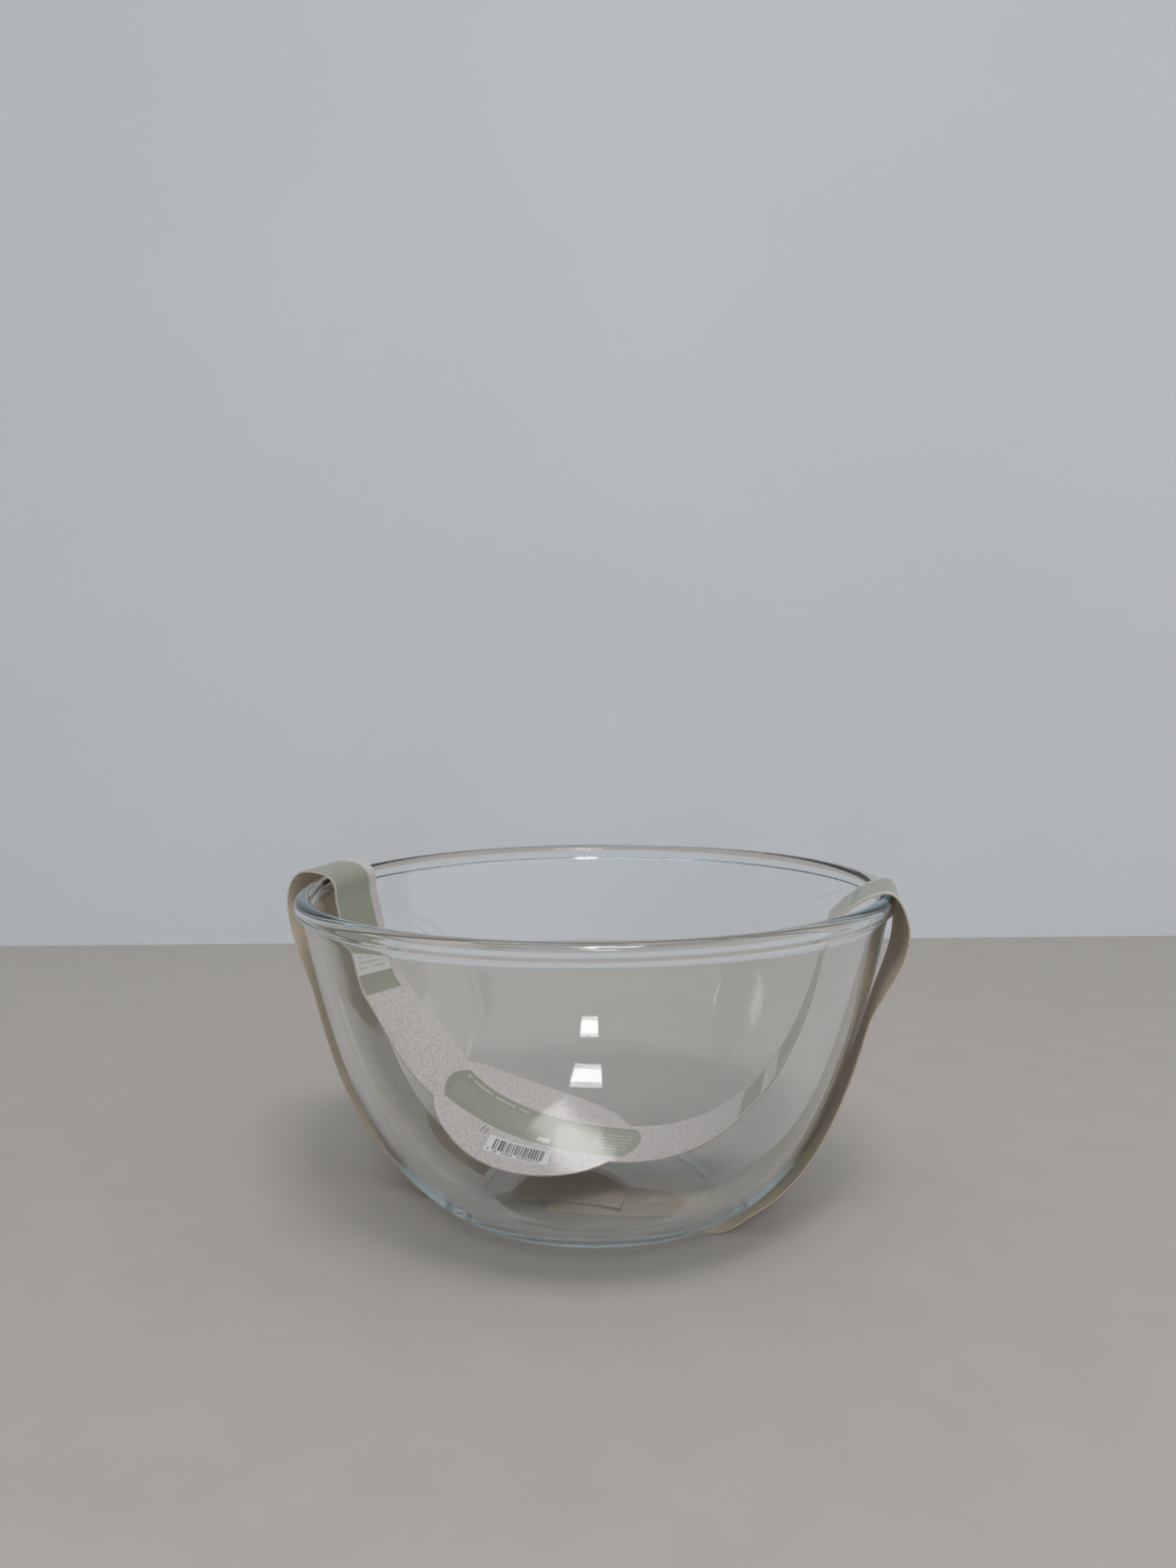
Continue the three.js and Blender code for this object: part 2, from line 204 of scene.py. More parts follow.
class LabelSettings(bpy.types.PropertyGroup):
    """Size, place and inks of the sticker on the round panel."""

    length: size("Length", "Length of the sticker", 24.5)
    width: size("Width", "Width of the sticker", 12.8)
    thickness: size("Thickness", "Thickness of the sticker", 0.2)
    corner: size("Corner", "Radius of the sticker's corners", 0.8)
    along: size("Along", "From the panel's centre, along the card", 3.3)
    across: size("Across", "From the panel's centre, across the card", -24.8)
    tilt: angle("Tilt", "Turn of the sticker on the card", 7)
    paper: colour("Paper", "The sticker's white", 230, 228, 229)
    fibre: colour("Fibre", "The darker fibres in the sticker", 203, 203, 200)
    bars: colour("Bars", "The printed bars", 34, 34, 38)


class GlueSettings(bpy.types.PropertyGroup):
    """Size and colour of the dried glue in the lap."""

    length: size("Length", "Length of the pressed film", 19)
    width: size("Width", "Width of the pressed film", 22)
    film: colour("Film", "The dried glue", 201, 194, 174)
    cloud: colour("Cloud", "The darker clouds in the dried glue", 173, 162, 137)


class StageSettings(bpy.types.PropertyGroup):
    """Floor, wall and lights."""

    floor: colour("Floor", "The table top", 184, 178, 171)
    wall: colour("Wall", "The wall behind the table", 220, 223, 227)
    wall_distance: size("Wall distance", "From the bowl's axis back to the wall", 458)
    room_light: share("Room light", "Mean strength of the light from all round", 0.66)
    right_light: share("Right light", "How much stronger that light is on the right, as a share", 0.4)
    lamp_power: share("Lamp power", "Power of each ceiling lamp, in watts", 5)
    strip_power: share("Strip power", "Power of the small light behind, in watts", 0.0165)
    lamp_width: size("Lamp width", "Width of each ceiling lamp", 330)
    lamp_length: size("Lamp length", "Length of each lamp, front to back", 390)
    lamp_height: size("Lamp height", "Height of the ceiling lamps above the table", 1250)


class Bend:
    """A smooth curve from one point and angle to another."""

    def __init__(self, start, start_angle, start_reach, end, end_angle, end_reach):
        self.start = start
        self.leave = start + way(start_angle) * start_reach
        self.arrive = end - way(end_angle) * end_reach
        self.end = end

    def point(self, part):
        rest = 1 - part
        return (
            self.start * rest**3 + self.leave * (3 * part * rest**2)
            + self.arrive * (3 * part**2 * rest) + self.end * part**3
        )

    def direction(self, part):
        rest = 1 - part
        slope = (
            (self.leave - self.start) * rest**2 + (self.arrive - self.leave) * (2 * part * rest)
            + (self.end - self.arrive) * part**2
        )
        return slope.normalized()

    def points(self, steps):
        return [self.point(index / steps) for index in range(steps + 1)]


def way(radians):
    return Vector((math.cos(radians), math.sin(radians)))


def left_of(direction):
    return Vector((-direction.y, direction.x))


def level_radius(points, level):
    """Radius of a rising wall at a level."""
    for low, high in zip(points, points[1:]):
        if high.y >= level:
            part = (level - low.y) / (high.y - low.y)
            return low.x + (high.x - low.x) * max(part, 0)
    return points[-1].x


class GlassProfile:
    """The bowl's section: radius across and height up."""

    wall_steps = 72

    def __init__(self, glass):
        self.glass = glass
        self.rim = glass.foot_level + glass.height
        self.floor = glass.foot_level + glass.floor_thickness
        self.heel = Vector((glass.foot_radius, glass.foot_level + glass.heel_rise))
        self.neck = Vector((glass.rim_radius - glass.lip_overhang, self.rim - glass.lip_height))
        chord = (self.neck - self.heel).length
        self.wall = Bend(
            self.heel, glass.heel_angle, glass.heel_fullness * chord,
            self.neck, glass.neck_angle, glass.neck_fullness * chord,
        )
        self.outer = self.wall.points(self.wall_steps)
        self.inner = [self.inner_point(index / self.wall_steps) for index in range(self.wall_steps + 1)]

    def inner_point(self, part):
        glass = self.glass
        thickness = glass.wall_at_lip + (glass.wall_at_heel - glass.wall_at_lip) * (1 - part) ** 2
        return self.wall.point(part) + left_of(self.wall.direction(part)) * thickness

    def base(self):
        glass = self.glass
        ceiling = glass.foot_level + glass.foot_recess
        ring_inside = glass.foot_radius - glass.heel_round - glass.foot_width
        recess = Bend(
            Vector((ring_inside - glass.recess_blend, ceiling)), 0, glass.recess_blend / 2,
            Vector((ring_inside, glass.foot_level)), 0, glass.recess_blend / 4,
        )
        ring_outside = Vector((glass.foot_radius - glass.heel_round, glass.foot_level))
        corner = Bend(
            ring_outside, 0, glass.heel_round / 3, self.heel, glass.heel_angle, glass.heel_round / 3,
        )
        return [Vector((0, ceiling)), *recess.points(16), *corner.points(8)[:-1]]

    def lip(self):
        glass = self.glass
        half = glass.lip_width / 2
        fillet = glass.neck_fillet
        below = self.neck - self.wall.direction(1) * fillet
        beside = self.neck + Vector((fillet, 0))
        crook = Bend(below, glass.neck_angle, fillet * 0.6, beside, 0, fillet * 0.6)
        overhang = glass.lip_overhang - fillet
        side = Vector((glass.rim_radius, self.neck.y + overhang))
        under = Bend(beside, 0, overhang * 0.6, side, math.pi / 2, overhang * 0.6)
        middle = Vector((glass.rim_radius - half, self.rim - half))
        dome = [middle + way(math.pi * index / 24) * half for index in range(25)]
        end_angle = glass.neck_angle - math.pi
        inside = Bend(dome[-1], -math.pi / 2, half / 3, self.inner[-1], end_angle, half / 3)
        return [*crook.points(6), *under.points(8)[1:], *dome, *inside.points(6)[1:-1]]

    def floor_blend(self):
        glass = self.glass
        corner = self.inner[0]
        edge = Vector((glass.floor_flat_radius, self.floor))
        reach = (corner - edge).length / 3
        blend = Bend(corner, glass.heel_angle - math.pi, reach, edge, math.pi, reach)
        return [*blend.points(18)[1:], Vector((0, self.floor))]

    def section(self):
        fillet = self.glass.neck_fillet
        wall = [point for point in self.outer if (point - self.neck).length > fillet * 1.2]
        return [*self.base(), *wall, *self.lip(), *reversed(self.inner), *self.floor_blend()]


def knot(x, y, heading, reach=(USUAL_REACH, USUAL_REACH)):
    """A point on the card's route, the way the card goes there, and how long it keeps that way."""
    return Vector((x, y)), heading, reach


def swell(value, start, peak, end):
    """A smooth rise from 0 to 1 and back."""
    foot = start if value < peak else end
    part = min(max((value - foot) / (peak - foot), 0.0), 1.0)
    return part * part * (3 - 2 * part)


class CardRoute:
    """The band's middle line in its upright plane, from its left end round to its right end."""

    steps = 240

    def __init__(self, band, profile):
        self.band = band
        self.profile = profile
        self.half_card = band.card / 2
        self.half_width = band.width / 2
        self.knots = self.make_knots()
        self.points = [self.knots["lap end"][0]]
        self.knot_distances = {"lap end": 0.0}
        self.distances = [0.0]
        for last, name in self.spans():
            self.follow(last, name)
        self.length = self.distances[-1]
        self.panel_at = self.knot_distances["lowest"] - band.panel_shift
        self.panel_half_length = math.sqrt(band.panel_radius**2 - self.half_width**2)

    def spans(self):
        names = list(self.knots)
        return zip(names, names[1:])

    def follow(self, last, name):
        start, start_angle, start_reach = self.knots[last]
        end, end_angle, end_reach = self.knots[name]
        span = (end - start).length
        bend = Bend(start, start_angle, start_reach[1] * span, end, end_angle, end_reach[0] * span)
        for point in bend.points(self.steps)[1:]:
            self.distances.append(self.distances[-1] + (point - self.points[-1]).length)
            self.points.append(point)
        self.knot_distances[name] = self.distances[-1]

    def inside_reach(self, level):
        """How far from the axis the card can lie inside the glass, with its wider edge clear."""
        band = self.band
        glass = self.profile.glass
        inner = self.profile.inner
        wall = glass.rim_radius - glass.lip_width
        if level <= inner[-1].y:
            wall = level_radius(inner, level)
        widest_edge = self.half_width + abs(band.offset)
        return math.sqrt((wall - band.inside_gap) ** 2 - widest_edge**2) - band.card

    def wall_knot(self, side, part, standoff):
        step = 1 * MM
        level = part * self.profile.glass.height
        radius = level_radius(self.profile.outer, level)
        slope = math.atan2(step, level_radius(self.profile.outer, level + step) - radius)
        return knot(side * (radius + standoff), level, math.pi + side * slope)

    def make_knots(self):
        band = self.band
        glass = self.profile.glass
        rim = self.profile.rim
        right_angle = math.pi / 2
        low = self.half_card
        top = band.card + band.glue_thickness + self.half_card
        over_rim = rim + self.half_card
        lip_inside = rim - glass.lip_height - band.clearance
        lip_middle = glass.rim_radius - glass.lip_width / 2
        left_crown = lip_middle + (band.left_bulge + glass.lip_width) / 3
        bulge = rim - 2 * glass.lip_height
        leave = rim - band.leave_depth
        sag = self.profile.floor + band.sag_clearance + self.half_card
        half_lap = band.lap_length / 2
        knots = {
            "lap end": knot(half_lap, top, math.pi),
            "lap start": knot(-half_lap, top, math.pi),
            "ramp": knot(-half_lap - band.lap_ramp, low, math.pi),
            "left foot": knot(-glass.foot_radius - band.left_standoff, low, math.pi),
        }
        for part in LEFT_WALL_SHARES:
            knots[f"left wall {part}"] = self.wall_knot(-1, part, band.left_standoff)
        left_lean = right_angle + band.outside_lean
        knots["left bulge"] = knot(-glass.rim_radius - band.left_bulge, bulge, left_lean)
        knots["left crown"] = knot(-left_crown, over_rim + band.left_rise, 0, LEFT_ARCH_REACH)
        knots["inside lip"] = knot(
            -self.inside_reach(lip_inside), lip_inside - glass.lip_height / 2,
            band.inside_lean - right_angle, INSIDE_REACH,
        )
        leave_lean = band.leave_lean - right_angle
        knots["leave"] = knot(-self.inside_reach(leave), leave, leave_lean, LEAVE_REACH)
        knots["lowest"] = knot(band.sag_at, sag, 0, SAG_REACH)
        knots["shoulder"] = knot(
            self.inside_reach(lip_inside) - band.shoulder_gap, lip_inside - glass.lip_height,
            right_angle - band.shoulder_lean, SHOULDER_REACH,
        )
        knots["right crown"] = knot(lip_middle, over_rim + band.right_rise, 0, RIGHT_ARCH_REACH)
        knots["right bulge"] = knot(glass.rim_radius + band.right_bulge, bulge, -right_angle)
        for part in RIGHT_WALL_SHARES:
            knots[f"right wall {part}"] = self.wall_knot(1, part, band.right_standoff)
        knots["right foot"] = knot(glass.foot_radius, low, math.pi)
        knots["low end"] = knot(-half_lap, low, math.pi)
        return knots

    def middle(self, distance):
        """The point at a distance along the card, and the way the card goes there."""
        index = bisect.bisect_right(self.distances, distance)
        index = min(max(index, 1), len(self.points) - 1)
        last, here = self.points[index - 1], self.points[index]
        span = self.distances[index] - self.distances[index - 1]
        part = (distance - self.distances[index - 1]) / span
        before = self.points[max(index - 2, 0)]
        after = self.points[min(index + 1, len(self.points) - 1)]
        start = (here - before).normalized()
        end = (after - last).normalized()
        return last.lerp(here, part), start.lerp(end, part).normalized()

    def offset(self, distance):
        """The card's middle line beside the plane through the axis."""
        band = self.band
        left_top = self.knot_distances["left bulge"]
        right_top = self.knot_distances["right bulge"]
        if distance < left_top:
            return band.left_end_offset + (band.offset - band.left_end_offset) * distance / left_top
        if distance > right_top:
            part = (distance - right_top) / (self.length - right_top)
            return band.offset + (band.right_end_offset - band.offset) * part
        return band.offset

    def half_width_at(self, distance):
        from_panel = abs(distance - self.panel_at)
        if from_panel >= self.panel_half_length:
            return self.half_width
        return math.sqrt(self.band.panel_radius**2 - from_panel**2)

    def twist(self, distance):
        """How far the card leans across its length: on the inner left run and on the right leg."""
        knots = self.knot_distances
        start = knots["leave"]
        end = self.panel_at - self.band.panel_radius / 2
        left = self.band.left_twist * swell(distance, start, (start + end) / 2, end)
        peak = knots["right bulge"]
        right = self.band.right_twist * swell(distance, knots["right crown"], peak, knots[RIGHT_LEG_KNOT])
        return left + right

    def place(self, distance, across, above):
        """A point on the card: along it, across it from its middle line, and above its middle layer."""
        point, direction = self.middle(distance)
        turn = self.twist(distance)
        sideways = across * math.cos(turn) - above * math.sin(turn)
        lift = across * math.sin(turn) + above * math.cos(turn)
        lifted = point + left_of(direction) * lift
        upright = Vector((lifted.x, self.offset(distance) + sideways, lifted.y))
        return Matrix.Rotation(self.band.turn, 3, "Z") @ upright

    def stations(self):
        """Distances along the card, close together on the arches and round the panel."""
        clear = []
        for last, name in self.spans():
            start, end = self.knot_distances[last], self.knot_distances[name]
            arch = "crown" in last or "crown" in name
            spacing = 0.8 * MM if arch else 2.5 * MM
            count = math.ceil((end - start) / spacing)
            clear += [start + (end - start) * index / count for index in range(count)]
        clear.append(self.length)
        room = self.panel_half_length + 0.5 * MM
        clear = [distance for distance in clear if abs(distance - self.panel_at) > room]
        corner = math.asin(self.half_width / self.band.panel_radius)
        count = 84
        for index in range(count + 1):
            turn = corner + (math.pi - 2 * corner) * index / count
            clear.append(self.panel_at - self.band.panel_radius * math.cos(turn))
        return sorted(clear)


class NodeSheet:
    """The nodes of a new material or world, with short ways to add and join them."""

    def __init__(self, name, owners="materials", surface="Principled BSDF"):
        self.owner = getattr(bpy.data, owners).new(name)
        self.owner.use_nodes = True
        self.tree = self.owner.node_tree
        self.surface = self.tree.nodes[surface]

    def add(self, kind, inputs=(), **settings):
        node = self.tree.nodes.new(kind)
        for key, value in settings.items():
            setattr(node, key, value)
        for key, value in dict(inputs).items():
            self.join(value, node.inputs[key])
        return node

    def join(self, value, socket):
        if isinstance(value, bpy.types.NodeSocket):
            self.tree.links.new(value, socket)
        else:
            socket.default_value = value

    def finish(self, **inputs):
        for key, value in inputs.items():
            self.join(value, self.surface.inputs[key.replace("_", " ")])
        return self.owner

    def math(self, operation, *values):
        return self.add("ShaderNodeMath", dict(enumerate(values)), operation=operation).outputs[0]

    def minus(self, first, second):
        return self.math("SUBTRACT", first, second)

    def scaled(self, value, factor, base):
        """A value times a factor, on top of a base."""
        return self.math("MULTIPLY_ADD", value, factor, base)

    def split(self, value):
        """The whole number below a value, and what is left."""
        whole = self.math("FLOOR", value)
        return whole, self.minus(value, whole)

    def card_place(self):
        """Millimetres along and across the card, which the mesh holds at each vertex."""
        nodes = [self.add("ShaderNodeAttribute", attribute_name=name) for name in ("along", "across")]
        return [node.outputs["Fac"] for node in nodes]

    def vector(self, x, y, z=0.0):
        return self.add("ShaderNodeCombineXYZ", {0: x, 1: y, 2: z}).outputs[0]

    def noise(self, vector, scale, detail=2.0, roughness=0.5):
        inputs = {"Vector": vector, "Scale": scale, "Detail": detail, "Roughness": roughness}
        return self.add("ShaderNodeTexNoise", inputs).outputs[0]

    def chance(self, x, y):
        """An even random number for each pair of whole numbers."""
        node = self.add("ShaderNodeTexWhiteNoise", {"Vector": self.vector(x, y)}, noise_dimensions="2D")
        return node.outputs["Value"]

    def ramp(self, value, low, high):
        """0 below low, 1 above high, smooth between."""
        inputs = {"Value": value, "From Min": low, "From Max": high}
        return self.add("ShaderNodeMapRange", inputs, interpolation_type="SMOOTHSTEP").outputs[0]

    def between(self, value, low, high, soft=0.12):
        rising = self.ramp(value, low - soft, low + soft)
        falling = self.ramp(value, high + soft, high - soft)
        return self.both(rising, falling)

    def area(self, along, across, edges, soft=0.12):
        """1 between the edges: left, right, front and back."""
        left, right, front, back = edges
        return self.both(self.between(along, left, right, soft), self.between(across, front, back, soft))

    def both(self, first, second):
        return self.math("MULTIPLY", first, second)

    def either(self, *masks):
        found = masks[0]
        for mask in masks[1:]:
            found = self.math("MAXIMUM", found, mask)
        return found

    def mix(self, part, first, second):
        node = self.add("ShaderNodeMix", {"Factor": part}, data_type="RGBA")
        self.join(first, node.inputs[6])
        self.join(second, node.inputs[7])
        return node.outputs[2]

    def lay(self, shade, tone, mask, strength):
        """A tone over a shade, as strong as asked where the mask is 1."""
        return self.mix(self.both(mask, strength), shade, tone)

    def bump(self, height, strength, distance):
        inputs = {"Height": height, "Strength": strength, "Distance": distance}
        return self.add("ShaderNodeBump", inputs).outputs[0]


def make_object(name, vertices, faces, materials, face_materials=None, attributes=None, sharp=0.6):
    """A smooth mesh object with its materials and its own numbers at each vertex."""
    mesh = bpy.data.meshes.new(name)
    mesh.from_pydata(vertices, [], faces)
    for material in materials:
        mesh.materials.append(material)
    if face_materials:
        mesh.polygons.foreach_set("material_index", face_materials)
    for key, values in (attributes or {}).items():
        mesh.attributes.new(key, "FLOAT", "POINT").data.foreach_set("value", values)
    mesh.polygons.foreach_set("use_smooth", [True] * len(faces))
    mesh.set_sharp_from_angle(angle=sharp)
    if mesh.validate():
        raise RuntimeError(f"{name} has faulty faces")
    piece = bpy.data.objects.new(name, mesh)
    bpy.context.scene.collection.objects.link(piece)
    return piece


def lathe(section, turns):
    """Vertices and faces of a section turned about the upright axis, where it starts and ends."""
    vertices = [(0, 0, section[0].y), (0, 0, section[-1].y)]
    ring = section[1:-1]
    count = len(ring)
    for turn in range(turns):
        cos, sin = way(2 * math.pi * turn / turns)
        vertices += [(point.x * cos, point.x * sin, point.y) for point in ring]
    faces = []
    for turn in range(turns):
        here = 2 + turn * count
        beside = 2 + (turn + 1) % turns * count
        faces.append((0, beside, here))
        faces.append((1, here + count - 1, beside + count - 1))
        faces += [
            (here + index, beside + index, beside + index + 1, here + index + 1)
            for index in range(count - 1)
        ]
    return vertices, faces


def strip(rows, columns):
    """Faces of a thin closed strip, and the side each is on: 0 above, 1 below, 2 on a cut edge.

    Each row holds its upper points from front to back, then its lower ones."""
    width = 2 * columns
    cells = []
    for row in range(rows - 1):
        here = row * width
        after = here + width
        for column in range(columns - 1):
            cells.append(((here + column, after + column, after + column + 1, here + column + 1), 0))
            low = here + columns + column
            cells.append(((low, low + 1, low + width + 1, low + width), 1))
        cells.append(((here, here + columns, after + columns, after), 2))
        back, low_back = here + columns - 1, here + width - 1
        cells.append(((back, back + width, low_back + width, low_back), 2))
    for start, way_round in ((0, 1), ((rows - 1) * width, -1)):
        for column in range(columns - 1):
            upper, lower = start + column, start + columns + column
            cells.append(((upper, upper + 1, lower + 1, lower)[::way_round], 2))
    return list(zip(*cells))


def lay_sheet(route, rows, columns, layers, along=0.0, across=0.0, tilt=0.0):
    """Vertices of a thin sheet on the card, and for its print their places on it, in millimetres.

    Rows are lengths from its middle with half the width there, and layers are heights. Its middle lies
    along and across the card from the round panel's centre."""
    cos, sin = way(tilt)
    vertices = []
    numbers = {"along": [], "across": []}
    for lengthwise, half in rows:
        for above in layers:
            for column in range(columns):
                widthwise = half * (2 * column / (columns - 1) - 1)
                distance = route.panel_at + along + lengthwise * cos - widthwise * sin
                aside = across + lengthwise * sin + widthwise * cos
                vertices.append(route.place(distance, aside, above))
                numbers["along"].append(lengthwise / MM)
                numbers["across"].append(widthwise / MM)
    return vertices, numbers


def speckled_card(sheet, band, along, across):
    """Recycled card: a soft warm and cool mottle under fine dark and light flecks."""
    spot = sheet.vector(along, across)
    mottle = sheet.ramp(sheet.noise(spot, 0.7, 3.0, 0.6), 0.3, 0.7)
    ground = sheet.mix(mottle, band.cool_card, band.warm_card)
    grain = sheet.ramp(sheet.noise(spot, 2.2, 3.0, 0.65), 0.3, 0.7)
    ground = sheet.lay(ground, band.light_fleck, grain, 0.3)
    dark, light = band.dark_fleck, band.light_fleck
    for scale, reach, tone in ((1.7, 0.55, dark), (1.2, 0.5, light), (0.8, 0.42, dark)):
        inputs = {"Vector": spot, "Scale": scale, "Randomness": 1.0}
        cells = sheet.add("ShaderNodeTexVoronoi", inputs, voronoi_dimensions="2D")
        lot = sheet.add("ShaderNodeSeparateColor", {0: cells.outputs["Color"]}).outputs[0]
        limit = sheet.both(sheet.math("POWER", lot, 2.0), reach)
        fleck = sheet.ramp(sheet.minus(limit, cells.outputs["Distance"]), 0.0, 0.2)
        ground = sheet.lay(ground, tone, fleck, 0.65)
    return ground, grain


def greeked(sheet, along, across, edges, pitch, height, word, fill):
    """Rows of plain dashes in place of words, between edges (left, right, front, back).

    The rows lie a pitch apart. The dashes have a height and a length, and a share of them is filled in."""
    row, in_row = sheet.split(sheet.math("DIVIDE", sheet.minus(across, edges[2]), pitch))
    half = height / pitch / 2
    line = sheet.between(in_row, 0.5 - half, 0.5 + half, 0.06)
    start = sheet.scaled(sheet.chance(row, 7.0), 3.0, sheet.math("DIVIDE", along, word))
    cell, in_cell = sheet.split(start)
    dash = sheet.both(line, sheet.between(in_cell, 0.08, 0.92, 0.03))
    kept = sheet.math("LESS_THAN", sheet.chance(cell, row), fill)
    return sheet.both(sheet.both(dash, kept), sheet.area(along, across, edges))


def panel_bar(sheet, along, across):
    """The round panel's ink bar, with bowed ends."""
    middle = sheet.math("ABSOLUTE", sheet.minus(along, 3.5))
    bow = sheet.math("DIVIDE", sheet.math("POWER", sheet.minus(across, 0.5), 2.0), 44.0)
    long_enough = sheet.ramp(sheet.math("ADD", middle, bow), 41.7, 41.3)
    return sheet.both(long_enough, sheet.between(across, -13.2, 14.3))


def arm_print(sheet, along, across, crowns):
    """Ink, white patches and their lines on both arms, mirrored about each arm's crown."""
    slip = sheet.scaled(along, 0.0115, -1.55)
    level = sheet.minus(across, slip)
    printed_width = sheet.between(level, -PRINT_HALF_WIDTH, PRINT_HALF_WIDTH)
    inks = []
    whites = []
    lines = []
    for side, crown, slant, (start, white_start, white_end) in zip((-1, 1), crowns, ARM_SLANTS, ARM_PRINTS):
        lag = sheet.scaled(level, slant, PRINT_HALF_WIDTH * slant)
        outward = sheet.scaled(along, side, lag)
        mirrored = sheet.minus(crown, sheet.math("ABSOLUTE", sheet.minus(outward, crown)))
        inks.append(sheet.between(mirrored, start, white_start))
        whites.append(sheet.between(mirrored, white_start, white_end))
        inks.append(sheet.between(mirrored, white_end, crown + 1))
        for low in (white_start, 2 * crown - white_end):
            edges = (-12.0, 10.0, low + 1.5, low + 8.0)
            lines.append(greeked(sheet, level, outward, edges, 2.2, 0.7, 3.4, 0.8))
    ink = sheet.both(printed_width, sheet.either(*inks))
    white = sheet.both(printed_width, sheet.either(*whites))
    return ink, white, sheet.either(*lines)


def printed_face(band, crowns):
    """The printed face: bare speckled card, sage panels, white patches and plain dashes for words."""
    sheet = NodeSheet("printed_card")
    along, across = sheet.card_place()
    ground, grain = speckled_card(sheet, band, along, across)
    arm_ink, arm_white, arm_lines = arm_print(sheet, along, across, crowns)
    ink = sheet.either(panel_bar(sheet, along, across), arm_ink)
    box = sheet.area(along, across, (6.2, 11.2, -10.7, -7.0))
    white = sheet.either(box, arm_white)
    heading = greeked(sheet, along, across, (-33.0, -3.0, 9.0, 11.6), 2.6, 1.5, 11.0, 1.0)
    body = greeked(sheet, along, across, (-34.0, 4.0, -9.0, 7.4), 2.05, 0.8, 3.1, 0.86)
    notes = greeked(sheet, along, across, (27.0, 41.0, -8.0, 8.0), 3.2, 0.8, 9.0, 1.0)
    stamp = greeked(sheet, across, along, (-21.5, -15.0, -14.4, -11.2), 1.6, 0.7, 2.4, 0.85)

    worn = sheet.ramp(sheet.noise(sheet.vector(along, across, 4.0), 2.6, 3.0), 0.25, 0.75)
    shade = sheet.lay(ground, band.ink, ink, sheet.scaled(worn, 0.08, 0.86))
    for tone, mask, strength in (
        (band.white, heading, 0.6), (band.white, body, 0.22), (band.white, notes, 0.5),
        (band.white, white, 0.92), (band.small_print, arm_lines, 0.6), (band.dark_fleck, stamp, 0.75),
    ):
        shade = sheet.lay(shade, tone, mask, strength)

    roughness = sheet.scaled(sheet.either(ink, white), -0.14, 0.5)
    tooth = sheet.scaled(sheet.noise(sheet.vector(along, across, 9.0), 3.0, 3.0), 0.6, grain)
    return sheet.finish(
        Base_Color=shade, Roughness=roughness, Normal=sheet.bump(tooth, 0.12, 0.00006),
        Coat_Weight=0.6, Coat_Roughness=0.08,
    )


def kraft_face(band):
    """The unprinted face: pale board with long fibres."""
    sheet = NodeSheet("kraft_board")
    along, across = sheet.card_place()
    fibre_spot = sheet.vector(sheet.both(along, 0.25), across)
    fibres = sheet.ramp(sheet.noise(fibre_spot, 1.3, 4.0, 0.65), 0.35, 0.7)
    clouds = sheet.ramp(sheet.noise(sheet.vector(along, across, 2.0), 0.12, 2.0), 0.3, 0.7)
    depth = sheet.scaled(fibres, 0.4, sheet.both(clouds, 0.2))
    shade = sheet.mix(depth, band.kraft, band.kraft_fibre)
    roughness = sheet.scaled(fibres, 0.08, 0.84)
    return sheet.finish(Base_Color=shade, Roughness=roughness, Normal=sheet.bump(fibres, 0.15, 0.00006))


def cut_edge(band):
    """The cut edge of the card: mottled pulp."""
    sheet = NodeSheet("cut_card")
    along, across = sheet.card_place()
    pulp = sheet.noise(sheet.vector(along, across), 1.7, 3.0)
    shade = sheet.mix(sheet.ramp(pulp, 0.3, 0.7), band.edge, band.kraft_fibre)
    return sheet.finish(Base_Color=shade, Roughness=0.9)


def clear_glass(glass):
    """Clear pressed glass, faintly blue where thick, with slow waves, and fine mould rings at the heel."""
    sheet = NodeSheet("clear_glass")
    place = sheet.add("ShaderNodeTexCoord").outputs["Object"]
    waves = sheet.noise(place, 28.0, 1.0)
    film = sheet.ramp(sheet.noise(place, 60.0, 3.0), 0.45, 0.8)
    parts = sheet.add("ShaderNodeSeparateXYZ", {0: place}).outputs
    level = sheet.minus(parts["Z"], glass.foot_level)
    rings = sheet.noise(sheet.vector(parts["X"], parts["Y"], sheet.both(level, 24.0)), 45.0, 2.0)
    at_heel = sheet.ramp(level, 14 * MM, 5 * MM)
    surface = sheet.scaled(sheet.both(rings, at_heel), 0.35, waves)
    volume = sheet.add(
        "ShaderNodeVolumeAbsorption", {"Color": tuple(glass.tint), "Density": glass.tint_density},
    )
    sheet.join(volume.outputs[0], sheet.tree.nodes["Material Output"].inputs["Volume"])
    return sheet.finish(
        Base_Color=(1, 1, 1, 1), Roughness=sheet.both(film, 0.012), IOR=1.48, Transmission_Weight=1.0,
        Normal=sheet.bump(surface, 0.05, 0.002),
    )


